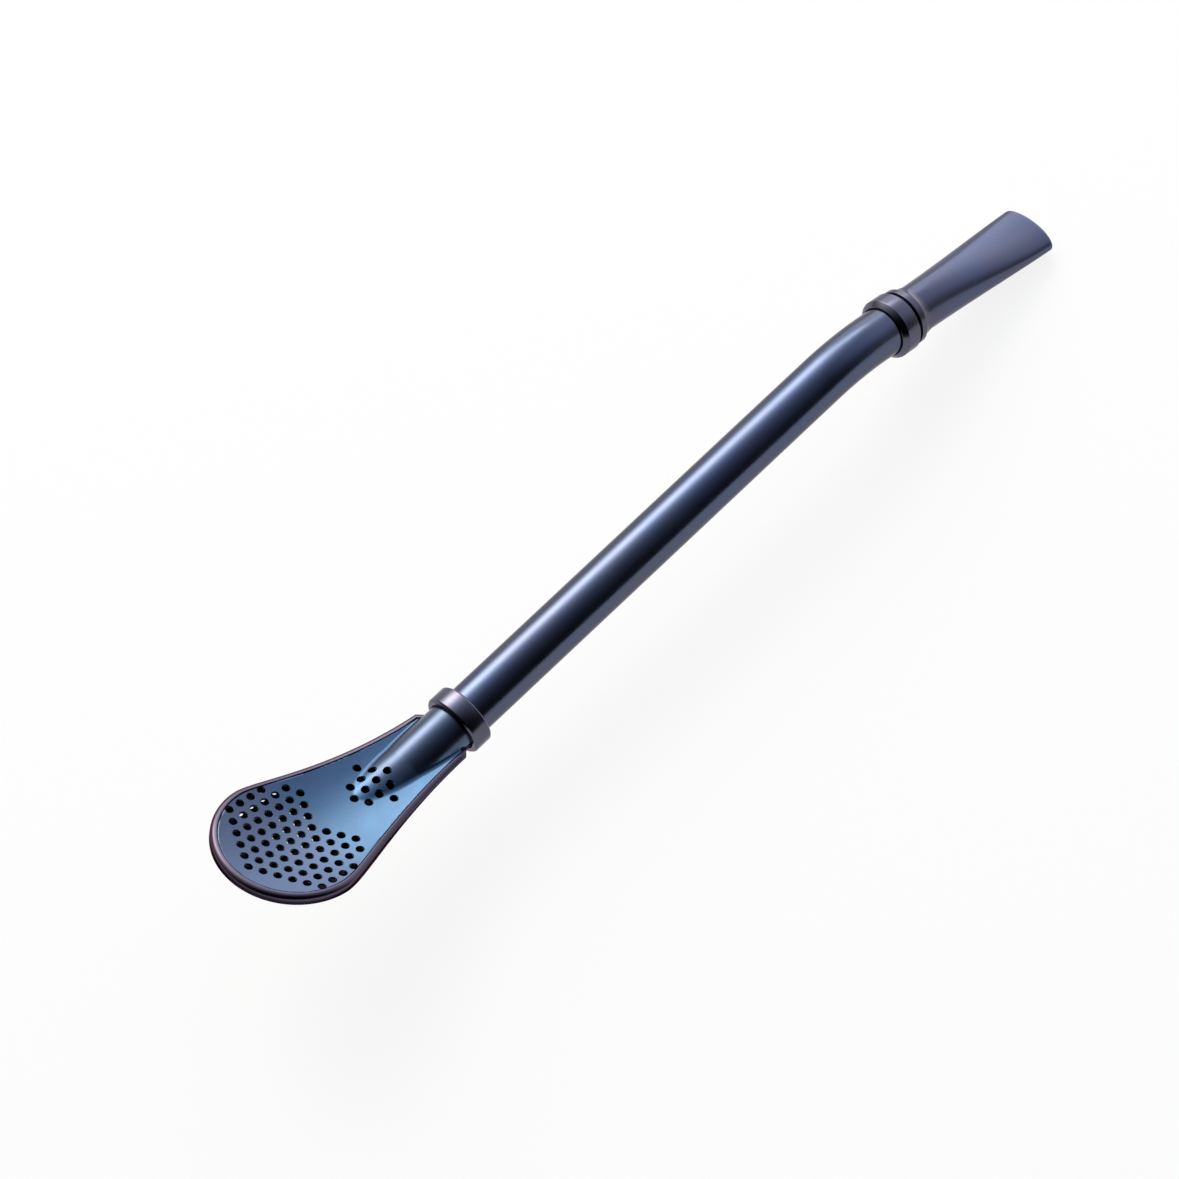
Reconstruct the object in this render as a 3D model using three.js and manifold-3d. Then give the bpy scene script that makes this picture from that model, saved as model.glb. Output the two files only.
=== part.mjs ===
// A filter straw for infusions: a bent steel tube with a perforated spoon at its foot, two turned
// collars and a flattened mouthpiece. Millimetres and degrees, +Z up, +X from the spoon to the mouth.
// The straight part of the stem lies along X, and the origin is on the ground under the middle.
import * as THREE from "three";
import { mergeVertices } from "three/addons/utils/BufferGeometryUtils.js";
import Module from "manifold-3d";

const wasm = await Module();
wasm.setup();

// Tube stock of the stem and of the mouthpiece
const TUBE_DIAMETER = 8;
const TUBE_WALL = 0.5;
const ROUND_SIDES = 24;

// Stem: x is measured along its straight part, from the middle of the lower collar
const STRAIGHT_TO_CORNER = 86.2;
const ELBOW_ANGLE = 16.3;
const ELBOW_RADIUS = 40;
const STEM_STEPS = 26;
const SPIGOT_LENGTH = 3.2;
const SPIGOT_OVERLAP = 2;

// Lower collar, a plain ring over the joint of neck and stem
const LOWER_COLLAR_WALL = 0.95;
const LOWER_COLLAR_LENGTH = 3.4;
const COLLAR_CHAMFER = 0.3;

// Upper collar and the ring behind it, measured from the corner of the elbow
const CORNER_TO_COLLAR = 8.5;
const UPPER_COLLAR_WALL = 0.9;
const UPPER_COLLAR_LENGTH = 3.4;
const NOSE_LENGTH = 1.2;
const NOSE_DROP = 0.6;
const GROOVE_WIDTH = 0.35;
const GROOVE_WALL = 0.15;
const RING_WALL = 0.65;
const RING_BAND = 2.1;
const RING_COVE = 1.2;
const RING_LIP = 0.1;

// Mouthpiece: round at the ring, flattened at the lip
const MOUTHPIECE_DIAMETER = 7.9;
const MOUTHPIECE_LENGTH = 34.3;
const MOUTHPIECE_SPIGOT = 6;
const FLAT_STARTS_AFTER_RING = 1.5;
const LIP_WIDTH = 10;
const LIP_HEIGHT = 3.5;
const LIP_SQUARENESS = 2.4;
const LIP_EDGE = 0.18;

// Spoon: its own plane is tilted to the stem, x towards the mouth, z out of the filter face
const SPOON_TILT = 19.2;
const COLLAR_IN_SPOON = new THREE.Vector3(36.9, 0, 2.54);
const HEAD_CENTRE_X = 1.1;
const HEAD_HALF_WIDTH = 12;
const HEAD_TO_TIP = 12.2;
const FLANK_LEAVES_HEAD = 4.2;
const FLANK_WAIST = new THREE.Vector2(16, 6.8);
const SHOULDER_X = 33;
const SHOULDER_HALF_WIDTH = 5.4;
const SHOULDER_CHAMFER = 1.1;
const SPINE_END_X = 28.6;
const SHEET = 0.4;

// Filter plate: a shallow dish, lowest at DISH_X, with a half neck stamped in it
const DISH_X = 6;
const DISH_LOW = -0.08;
const DISH_RISE_TO_SIDE = 1.05;
const DISH_RISE_TO_TIP = 1.11;
const DISH_RISE_TO_NECK = 1.97;
const PLATE_INSET = 0.55;
const PLATE_RING_INSET = 2.6;

// Bottom shell: a flat-floored pan whose edge is folded over the filter plate
const FLOOR_Z = -2.9;
const HEM_RISE = 0.5;
const HEM_WIDTH_AT_HEAD = 1.6;
const HEM_WIDTH_AT_NECK = 1.2;
const WALL_DROP_AT_HEAD = 1.7;
const WALL_DROP_AT_NECK = 0.8;
const FLOOR_INSET = 3.3;
const WALL_LIFT_AT_NECK = 0.3;

// Neck: a cone that runs out of the plate and ends as a round neck in the lower collar
const NECK_DIAMETER = 8.3;
const NECK_STARTS_X = -26;
const NECK_START_DIAMETER = 10.7;
const NECK_ROUND_X = -11.8;
const NECK_END_X = -0.5;
const LOWER_NECK_X = -4.4;

// Perforation: a hexagonal field of small round holes
const HOLE_SPACING = 2.24;
const HOLE_DIAMETER = 1.3;
const HOLE_SIDES = 8;
const FIELD_ROWS = [
  { row: 0, first: -3.5, count: 7 },
  { row: 1, first: -3, count: 7 },
  { row: 2, first: -2.5, count: 7 },
  { row: 3, first: -2, count: 7 },
  { row: 4, first: -1.5, count: 6 },
  { row: 5, first: -1, count: 4 },
];
const NECK_ROWS = [
  { row: 0, first: 6.5, count: 4 },
  { row: 1, first: 7, count: 3 },
  { row: 2, first: 8.5, count: 1 },
];
const FLOOR_ROWS = [
  ...FIELD_ROWS.filter(({ row }) => row < 5),
  { row: 5.08, first: 0.25, count: 4 },
];
const FLOOR_FIELD_SHIFT = 0.05;

// Clearances
const SLIDE_GAP = 0.1;
const BUTT_GAP = 0.3;

// Finishes: blue-black coated steel, browner where it is turned or folded
const plateSteel = { color: 0x4a628f, roughness: 0.22, metalness: 1 };
const stemSteel = { color: 0x27314a, roughness: 0.16, metalness: 1 };
const collarSteel = { color: 0x6a6478, roughness: 0.28, metalness: 1 };
const mouthSteel = { color: 0x56658a, roughness: 0.22, metalness: 1 };
const shellSteel = { color: 0x3a3340, roughness: 0.25, metalness: 1 };

// A closed geometry as a solid that can be cut and joined
function solidOf(geometry) {
  const bare = geometry.clone();
  bare.deleteAttribute("normal");
  bare.deleteAttribute("uv");
  const merged = mergeVertices(bare, 1e-4);
  const corners = [];
  for (let k = 0; k < merged.index.count; k += 3) {
    const [a, b, c] = [0, 1, 2].map((n) => merged.index.getX(k + n));
    if (a !== b && b !== c && c !== a) corners.push(a, b, c);
  }
  return new wasm.Manifold(
    new wasm.Mesh({
      numProp: 3,
      vertProperties: merged.attributes.position.array,
      triVerts: new Uint32Array(corners),
    }),
  );
}

function geometryOf(solid) {
  const mesh = solid.getMesh();
  const geometry = new THREE.BufferGeometry();
  geometry.setAttribute("position", new THREE.BufferAttribute(mesh.vertProperties, 3));
  geometry.setIndex(new THREE.BufferAttribute(mesh.triVerts, 1));
  return geometry;
}

function piece(name, geometry, finish) {
  const mesh = new THREE.Mesh(geometry, new THREE.MeshStandardMaterial(finish));
  mesh.name = name;
  mesh.geometry.computeVertexNormals();
  return mesh;
}

// A turned body about the X axis, from a profile of [x, radius] pairs
function turned(profile) {
  const points = profile.map(([x, radius]) => new THREE.Vector2(radius, x));
  return new THREE.LatheGeometry(points, ROUND_SIDES).rotateZ(-Math.PI / 2);
}

const closed = (profile) => [...profile, profile[0]];
const smooth = (t) => THREE.MathUtils.smoothstep(t, 0, 1);
const degrees = THREE.MathUtils.degToRad;

// Stem
const tubeRadius = TUBE_DIAMETER / 2;
const boreRadius = tubeRadius - TUBE_WALL;
const neckRadius = NECK_DIAMETER / 2;
const spigotRadius = neckRadius - SHEET - SLIDE_GAP;
const elbowReach = ELBOW_RADIUS * Math.tan(degrees(ELBOW_ANGLE / 2));
const stemStartX = NECK_END_X + BUTT_GAP;
const jointX = CORNER_TO_COLLAR + UPPER_COLLAR_LENGTH / 2;
const corner = new THREE.Vector3(STRAIGHT_TO_CORNER, 0, 0);
const mouthDirection = new THREE.Vector3(1, 0, 0).applyAxisAngle(
  new THREE.Vector3(0, 1, 0),
  degrees(ELBOW_ANGLE),
);

class Elbow extends THREE.Curve {
  getPoint(t, target = new THREE.Vector3()) {
    const turn = degrees(ELBOW_ANGLE) * t;
    return target.set(
      STRAIGHT_TO_CORNER - elbowReach + ELBOW_RADIUS * Math.sin(turn),
      0,
      ELBOW_RADIUS * (Math.cos(turn) - 1),
    );
  }
}

function stemPath() {
  const bend = new Elbow();
  const path = new THREE.CurvePath();
  const end = corner.clone().addScaledVector(mouthDirection, jointX - BUTT_GAP / 2);
  path.add(new THREE.LineCurve3(new THREE.Vector3(stemStartX, 0, 0), bend.getPoint(0)));
  path.add(bend);
  path.add(new THREE.LineCurve3(bend.getPoint(1), end));
  return path;
}

function circlePath(radius) {
  const points = [];
  for (let k = 0; k < ROUND_SIDES; k++) {
    const angle = (2 * Math.PI * k) / ROUND_SIDES;
    points.push(new THREE.Vector2(radius * Math.cos(angle), radius * Math.sin(angle)));
  }
  return points;
}

function stemTube() {
  const section = new THREE.Shape(circlePath(tubeRadius));
  section.holes.push(new THREE.Path(circlePath(boreRadius).reverse()));
  const tube = new THREE.ExtrudeGeometry(section, { steps: STEM_STEPS, extrudePath: stemPath() });
  const inner = spigotRadius - TUBE_WALL;
  const wallMiddle = tubeRadius - TUBE_WALL / 2;
  const foot = NECK_END_X - SPIGOT_LENGTH;
  const head = stemStartX + SPIGOT_OVERLAP;
  const spigot = turned(
    closed([
      [foot, inner],
      [foot, spigotRadius],
      [stemStartX, spigotRadius],
      [stemStartX, wallMiddle],
      [head, wallMiddle],
      [head, inner],
    ]),
  );
  return geometryOf(solidOf(tube).add(solidOf(spigot)));
}

// Collars
function ringOf(start, length, outer, inner, chamfer) {
  const end = start + length;
  return turned(
    closed([
      [start, inner],
      [start, outer - chamfer],
      [start + chamfer, outer],
      [end - chamfer, outer],
      [end, outer - chamfer],
      [end, inner],
    ]),
  );
}

function lowerCollar() {
  const inner = Math.max(neckRadius, tubeRadius) + SLIDE_GAP;
  const outer = inner + LOWER_COLLAR_WALL;
  return ringOf(-LOWER_COLLAR_LENGTH / 2, LOWER_COLLAR_LENGTH, outer, inner, COLLAR_CHAMFER);
}

const mouthRadius = MOUTHPIECE_DIAMETER / 2;
const collarBore = Math.max(tubeRadius, mouthRadius) + SLIDE_GAP;
const ringStart = CORNER_TO_COLLAR + UPPER_COLLAR_LENGTH;
const ringEnd = ringStart + GROOVE_WIDTH + RING_BAND + RING_COVE;

function upperCollar() {
  const outer = collarBore + UPPER_COLLAR_WALL;
  const start = CORNER_TO_COLLAR;
  return turned(
    closed([
      [start, collarBore],
      [start, outer - NOSE_DROP],
      [start + NOSE_LENGTH * 0.3, outer - NOSE_DROP * 0.35],
      [start + NOSE_LENGTH, outer],
      [ringStart, outer],
      [ringStart, collarBore],
    ]),
  );
}

// The ring behind the groove: a narrow band that runs down to the mouthpiece in a hollow cove
function mouthRing() {
  const outer = collarBore + RING_WALL;
  const start = ringStart + SLIDE_GAP;
  const bandStart = ringStart + GROOVE_WIDTH;
  const bandEnd = bandStart + RING_BAND;
  const grooveFloor = collarBore + GROOVE_WALL;
  const foot = collarBore + RING_LIP;
  return turned(
    closed([
      [start, collarBore],
      [start, grooveFloor],
      [bandStart, grooveFloor],
      [bandStart, outer],
      [bandEnd, outer],
      [bandEnd + RING_COVE * 0.35, foot + (outer - foot) * 0.35],
      [ringEnd, foot],
      [ringEnd, collarBore],
    ]),
  );
}

// Mouthpiece: turned first, then flattened towards the lip
function flattened(geometry) {
  const start = ringEnd + FLAT_STARTS_AFTER_RING;
  const end = jointX + MOUTHPIECE_LENGTH;
  const place = geometry.attributes.position;
  for (let k = 0; k < place.count; k++) {
    const [x, y, z] = [place.getX(k), place.getY(k), place.getZ(k)];
    const radius = Math.hypot(y, z);
    const along = THREE.MathUtils.clamp((x - start) / (end - start), 0, 1);
    const amount = 0.3 * along + 0.7 * smooth(along);
    const power = THREE.MathUtils.lerp(2, LIP_SQUARENESS, amount);
    const [c, s] = [y / radius, z / radius];
    const reach = (Math.abs(c) ** power + Math.abs(s) ** power) ** (-1 / power);
    const wide = radius + amount * (LIP_WIDTH / 2 - mouthRadius);
    const high = radius - amount * (mouthRadius - LIP_HEIGHT / 2);
    place.setXYZ(k, x, wide * reach * c, high * reach * s);
  }
  return geometry;
}

function mouthpiece() {
  const start = jointX + BUTT_GAP / 2;
  const end = jointX + MOUTHPIECE_LENGTH;
  const inner = mouthRadius - TUBE_WALL;
  const plug = boreRadius - SLIDE_GAP;
  const outside = [];
  const inside = [];
  const bands = 9;
  const first = ringEnd + FLAT_STARTS_AFTER_RING;
  for (let k = 0; k <= bands; k++) {
    const x = first + ((end - LIP_EDGE - first) * k) / bands;
    outside.push([x, mouthRadius]);
    inside.unshift([x, inner]);
  }
  return flattened(
    turned(
      closed([
        [start - MOUTHPIECE_SPIGOT, plug - TUBE_WALL],
        [start - MOUTHPIECE_SPIGOT, plug],
        [start, plug],
        [start, mouthRadius],
        ...outside,
        [end, mouthRadius - LIP_EDGE],
        [end, inner + LIP_EDGE],
        ...inside,
        [start + TUBE_WALL, inner],
        [start, plug - TUBE_WALL],
      ]),
    ),
  );
}

// Spoon outline: stations from the tip along one side to the middle of the neck end, and back
function halfOutline() {
  const headEnd = new THREE.Vector2(HEAD_CENTRE_X, HEAD_HALF_WIDTH);
  const shoulder = new THREE.Vector2(SHOULDER_X, SHOULDER_HALF_WIDTH);
  const tip = new THREE.EllipseCurve(
    HEAD_CENTRE_X, 0, HEAD_TO_TIP, HEAD_HALF_WIDTH, Math.PI, Math.PI / 2, true,
  );
  const flank = new THREE.CubicBezierCurve(
    headEnd,
    new THREE.Vector2(HEAD_CENTRE_X + FLANK_LEAVES_HEAD, HEAD_HALF_WIDTH),
    FLANK_WAIST,
    shoulder,
  );
  const endX = SHOULDER_X + SHOULDER_CHAMFER;
  const endHalf = SHOULDER_HALF_WIDTH - SHOULDER_CHAMFER;
  return [
    ...tip.getSpacedPoints(12),
    ...flank.getSpacedPoints(14).slice(1),
    new THREE.Vector2(endX, endHalf),
    new THREE.Vector2(endX, endHalf / 2),
    new THREE.Vector2(endX, 0),
  ];
}

function outlineStations() {
  const half = halfOutline();
  half[0].y = 0;
  const near = half.slice(0, -1).map((p) => new THREE.Vector2(p.x, -p.y));
  return [...near, ...half.reverse()].map((edge) => ({
    edge,
    spine: new THREE.Vector2(THREE.MathUtils.clamp(edge.x, HEAD_CENTRE_X, SPINE_END_X), 0),
  }));
}

const stations = outlineStations();

const dishTipLength = DISH_X - (HEAD_CENTRE_X - HEAD_TO_TIP);
const dishNeckLength = SHOULDER_X - DISH_X;

function dishHeight(x, y) {
  const along = x - DISH_X;
  const across = y / HEAD_HALF_WIDTH;
  const lengthwise =
    along < 0
      ? DISH_RISE_TO_TIP * (along / dishTipLength) ** 2
      : DISH_RISE_TO_NECK * (along / dishNeckLength) ** 2;
  return DISH_LOW + DISH_RISE_TO_SIDE * across ** 2 + lengthwise;
}

// A body between the spine and the outline. Each profile point gives a way from the outline's edge
// inwards, or a share of the way from the spine, and a height at that place.
function bodyWithin(profile) {
  const count = profile.length;
  const blank = profile.map((_, k) => new THREE.Vector2(1 + k, k));
  const geometry = new THREE.LatheGeometry(blank, stations.length - 1);
  const place = geometry.attributes.position;
  stations.forEach(({ edge, spine }, i) => {
    const way = edge.clone().sub(spine);
    const reach = way.length();
    way.normalize();
    profile.forEach((point, j) => {
      const inset = typeof point.inset === "function" ? point.inset(edge) : point.inset;
      const out = point.share === undefined ? reach - inset : point.share * reach;
      const x = spine.x + way.x * out;
      const y = spine.y + way.y * out;
      place.setXYZ(i * count + j, x, y, point.height(x, y, edge));
    });
  });
  return geometry;
}

const above = (lift) => (x, y) => dishHeight(x, y) + lift;
const atEdge = (lift) => (x, y, edge) => dishHeight(edge.x, edge.y) + lift;
const level = (z) => () => z;
const spineShares = [0, 0.25, 0.5];

// The hem narrows and the wall gets shallower from the head towards the neck
const towardsNeck = (edge) => smooth((edge.x - HEAD_CENTRE_X) / (SHOULDER_X - HEAD_CENTRE_X));
const hemWidth = (edge) =>
  THREE.MathUtils.lerp(HEM_WIDTH_AT_HEAD, HEM_WIDTH_AT_NECK, towardsNeck(edge));
const wallFoot = (x, y, edge) =>
  dishHeight(edge.x, edge.y) -
  THREE.MathUtils.lerp(WALL_DROP_AT_HEAD, WALL_DROP_AT_NECK, towardsNeck(edge));

// A plain sheet that follows the dish, between two lifts, out to an inset from the outline
function dishSlab(low, high, inset) {
  const shares = spineShares.map((share) => ({ share, height: above(low) }));
  return bodyWithin([
    ...shares,
    { inset: PLATE_RING_INSET, height: above(low) },
    { inset, height: above(low) },
    { inset, height: above(high) },
    { inset: PLATE_RING_INSET, height: above(high) },
    ...shares.map(({ share }) => ({ share, height: above(high) })).reverse(),
  ]);
}

// Everything above or below the split between the two sheets, as far as the neck needs
function beyondSplit(lift, farZ) {
  const split = [
    ...spineShares.map((share) => ({ share, height: above(lift) })),
    { inset: 0, height: above(lift) },
    { inset: -NECK_DIAMETER, height: above(lift) },
  ];
  const far = [
    { inset: -NECK_DIAMETER, height: level(farZ) },
    { share: 0, height: level(farZ) },
  ];
  const profile = [...split, ...far];
  return bodyWithin(farZ > 0 ? profile : profile.reverse());
}

// The neck's cone in the spoon's frame, smaller by an inset
const spoonToStem = new THREE.Matrix4()
  .makeRotationY(degrees(SPOON_TILT))
  .multiply(new THREE.Matrix4().makeTranslation(COLLAR_IN_SPOON.clone().negate()));
const stemToSpoon = spoonToStem.clone().invert();

function neckCone(inset, startX, endX) {
  const slope = (NECK_START_DIAMETER - NECK_DIAMETER) / 2 / (NECK_ROUND_X - NECK_STARTS_X);
  const radiusAt = (x) => neckRadius + slope * Math.max(0, NECK_ROUND_X - x) - inset;
  const bends = [startX, ...(startX < NECK_ROUND_X ? [NECK_ROUND_X] : []), endX];
  const profile = [[startX, 0], ...bends.map((x) => [x, radiusAt(x)]), [endX, 0]];
  return solidOf(turned(profile).applyMatrix4(stemToSpoon));
}

// Perforation: drills that reach from far below the spoon up to a height
function holes(rows, shiftX, top) {
  const places = rows.flatMap(({ row, first, count }) =>
    (row ? [1, -1] : [1]).flatMap((side) =>
      Array.from({ length: count }, (_, k) => [
        (first + k + shiftX) * HOLE_SPACING,
        (side * row * HOLE_SPACING * Math.sqrt(3)) / 2,
      ]),
    ),
  );
  const reach = 2 * TUBE_DIAMETER;
  return places
    .map(([x, y]) => {
      const drill = new THREE.CylinderGeometry(
        HOLE_DIAMETER / 2, HOLE_DIAMETER / 2, reach + top, HOLE_SIDES,
      );
      return solidOf(drill.rotateX(Math.PI / 2).translate(x, y, (top - reach) / 2));
    })
    .reduce((all, hole) => all.add(hole));
}

// Filter plate with its half neck
function filterPlate() {
  const slab = solidOf(dishSlab(-SHEET, 0, PLATE_INSET));
  const upper = solidOf(beyondSplit(-SHEET / 2, 4 * TUBE_DIAMETER));
  const bump = neckCone(0, NECK_STARTS_X, NECK_END_X).intersect(upper);
  const hollow = neckCone(SHEET, NECK_STARTS_X, TUBE_DIAMETER);
  const drills = holes([...FIELD_ROWS, ...NECK_ROWS], 0, 2 * TUBE_DIAMETER);
  return geometryOf(slab.add(bump).subtract(hollow).subtract(drills));
}

// Bottom shell with the folded hem, its wall, its floor and the lower half of the neck
function bottomShell() {
  const inner = FLOOR_Z + SHEET;
  const wall = (share, floor) => (x, y, edge) => {
    const top = wallFoot(x, y, edge);
    return top + (floor - top) * (share - WALL_LIFT_AT_NECK * share * towardsNeck(edge));
  };
  const pan = bodyWithin([
    { share: 0, height: level(FLOOR_Z) },
    { inset: FLOOR_INSET, height: level(FLOOR_Z) },
    { inset: 0.67 * FLOOR_INSET, height: wall(0.86, FLOOR_Z) },
    { inset: 0.09 * FLOOR_INSET, height: wall(0.18, FLOOR_Z) },
    { inset: 0, height: wallFoot },
    { inset: 0, height: atEdge(-HEM_RISE / 2) },
    { inset: HEM_RISE / 2, height: atEdge(HEM_RISE / 2) },
    { inset: 1.4 * HEM_RISE, height: above(HEM_RISE) },
    { inset: (edge) => 0.8 * hemWidth(edge), height: above(0.76 * HEM_RISE) },
    { inset: hemWidth, height: above(1.5 * SLIDE_GAP) },
    { inset: hemWidth, height: above(SLIDE_GAP) },
    { inset: SHEET, height: above(SLIDE_GAP) },
    { inset: SHEET, height: wallFoot },
    { inset: 0.2 * FLOOR_INSET, height: wall(0.18, inner) },
    { inset: 0.73 * FLOOR_INSET, height: wall(0.86, inner) },
    { inset: 1.03 * FLOOR_INSET, height: level(inner) },
    { share: 0, height: level(inner) },
  ]);
  const lower = solidOf(beyondSplit(-SHEET - SLIDE_GAP, -4 * TUBE_DIAMETER));
  const upper = solidOf(beyondSplit(-SHEET - SLIDE_GAP, 4 * TUBE_DIAMETER));
  const neck = neckCone(0, LOWER_NECK_X, NECK_END_X).intersect(lower);
  const passage = neckCone(SHEET, LOWER_NECK_X, TUBE_DIAMETER);
  const room = neckCone(-SLIDE_GAP, NECK_STARTS_X, TUBE_DIAMETER).intersect(upper);
  return geometryOf(
    solidOf(pan).add(neck).subtract(passage).subtract(room).subtract(
      holes(FLOOR_ROWS, FLOOR_FIELD_SHIFT, -SHEET),
    ),
  );
}

// Assembly
const straw = new THREE.Group();
straw.add(piece("stem_tube", stemTube(), stemSteel));
straw.add(piece("lower_collar", lowerCollar(), collarSteel));

const mouthEnd = new THREE.Group();
mouthEnd.position.copy(corner);
mouthEnd.rotation.y = degrees(ELBOW_ANGLE);
mouthEnd.add(piece("upper_collar", upperCollar(), collarSteel));
mouthEnd.add(piece("mouthpiece_ring", mouthRing(), collarSteel));
mouthEnd.add(piece("mouthpiece", mouthpiece(), mouthSteel));
straw.add(mouthEnd);

const spoon = new THREE.Group();
spoon.applyMatrix4(spoonToStem);
spoon.add(piece("filter_plate", filterPlate(), plateSteel));
spoon.add(piece("bottom_shell", bottomShell(), shellSteel));
straw.add(spoon);

const extent = new THREE.Box3().setFromObject(straw, true);
straw.position.set(-(extent.min.x + extent.max.x) / 2, 0, -extent.min.z);

const filterStraw = new THREE.Group();
filterStraw.add(straw);

export default filterStraw;
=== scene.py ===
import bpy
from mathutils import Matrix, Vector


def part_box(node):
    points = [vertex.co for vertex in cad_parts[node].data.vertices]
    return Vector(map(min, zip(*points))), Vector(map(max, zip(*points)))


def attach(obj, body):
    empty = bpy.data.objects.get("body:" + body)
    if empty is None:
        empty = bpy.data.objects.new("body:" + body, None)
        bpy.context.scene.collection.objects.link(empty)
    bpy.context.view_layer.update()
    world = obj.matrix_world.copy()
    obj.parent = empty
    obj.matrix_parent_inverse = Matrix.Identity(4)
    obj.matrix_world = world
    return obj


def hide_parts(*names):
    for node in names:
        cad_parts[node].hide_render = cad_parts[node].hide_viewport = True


bl_info = {
    "name": "Filter straw",
    "version": (1, 0, 0),
    "blender": (4, 5, 0),
    "location": "View3D > Sidebar > Straw",
    "description": "Makes the bent straw, its spoon, collars and mouthpiece over the packed frame",
    "category": "Object",
}

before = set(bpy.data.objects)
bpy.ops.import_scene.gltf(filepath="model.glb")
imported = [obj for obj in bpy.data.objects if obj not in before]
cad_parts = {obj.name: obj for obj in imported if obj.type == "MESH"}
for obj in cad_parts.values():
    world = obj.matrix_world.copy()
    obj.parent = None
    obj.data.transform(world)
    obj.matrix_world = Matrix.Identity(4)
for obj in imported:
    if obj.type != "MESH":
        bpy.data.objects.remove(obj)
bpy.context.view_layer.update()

import math

import bmesh
import bpy
from bpy.props import FloatProperty, FloatVectorProperty, IntProperty, PointerProperty
from mathutils import Matrix, Vector


# Sizes and colours that a user would change

def length(name, millimetres, description):
    return FloatProperty(
        name=name,
        description=description,
        default=millimetres / 1000,
        unit="LENGTH",
        subtype="DISTANCE",
        precision=5,
    )


def turn(name, degrees, description):
    return FloatProperty(
        name=name, description=description, default=math.radians(degrees), subtype="ANGLE"
    )


def colour(name, rgb, description):
    return FloatVectorProperty(
        name=name, description=description, default=rgb, size=3, min=0, max=1, subtype="COLOR"
    )


def share(name, value, description):
    return FloatProperty(name=name, description=description, default=value, min=0, max=1)


class StemSizes(bpy.types.PropertyGroup):
    tube_diameter: length("Tube diameter", 8, "Outside diameter of the stem's tube")
    tube_wall: length("Tube wall", 0.5, "Wall of the tubes")
    straight: length("Straight part", 86.2, "From the lower collar's middle to the elbow's corner")
    elbow_angle: turn("Elbow", 16.3, "How far the mouth end bends down")
    elbow_radius: length("Elbow radius", 40, "Radius of the tube's centre line in the elbow")
    spigot_length: length("Spigot length", 3.2, "Narrow foot of the stem inside the neck")
    spigot_overlap: length("Spigot overlap", 2, "How far the narrow foot runs inside the tube")
    slide_gap: length("Sliding gap", 0.1, "Clearance between pieces that slide into each other")
    butt_gap: length("Butt gap", 0.3, "Clearance between pieces that meet end to end")
    round_steps: IntProperty(
        name="Steps round", description="Faces round a tube", default=96, min=24
    )


class CollarSizes(bpy.types.PropertyGroup):
    lower_wall: length("Lower collar wall", 0.95, "Wall of the collar over the neck")
    lower_length: length("Lower collar length", 3.4, "Length of the collar over the neck")
    chamfer: length("Chamfer", 0.3, "Chamfer at both ends of the lower collar")
    from_corner: length("Corner to upper collar", 8.5, "From the elbow to the upper collar")
    upper_wall: length("Upper collar wall", 0.9, "Wall of the collar behind the elbow")
    upper_length: length("Upper collar length", 3.4, "Length of the collar behind the elbow")
    nose_length: length("Nose length", 0.8, "Sloping front of the upper collar")
    nose_drop: length("Nose drop", 0.72, "How far the front falls towards the tube")
    nose_bow: length("Nose bow", 0.02, "How full the sloping front is")
    groove_width: length("Groove width", 0.8, "Turned groove between collar and ring")
    groove_wall: length("Groove wall", 0.15, "Wall that is left under the groove")
    ring_wall: length("Ring wall", 0.65, "Wall of the narrow ring")
    ring_band: length("Ring band", 1.05, "Straight part of the narrow ring")
    ring_cove: length("Ring cove", 1.8, "Hollow run-out of the narrow ring")
    ring_lip: length("Ring lip", 0.03, "Wall at the thin end of the cove")


class MouthSizes(bpy.types.PropertyGroup):
    diameter: length("Mouthpiece diameter", 7.9, "Round end of the mouthpiece")
    overall: length("Mouthpiece length", 34.3, "From the joint with the tube to the lip")
    spigot: length("Plug length", 6, "Plug inside the tube")
    flat_start: length("Flat starts after ring", 1.5, "Round stretch behind the ring")
    lip_width: length("Lip width", 10, "Width of the flattened lip")
    lip_height: length("Lip height", 3.5, "Height of the flattened lip")
    lip_squareness: FloatProperty(
        name="Lip squareness", description="2 is an ellipse, more is squarer", default=2.4, min=2
    )
    lip_bow: length("Lip bow", 0.6, "How far the lip's corners stand back")
    lip_edge: length("Lip rounding", 0.18, "Rounding of the lip's edges")


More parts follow.
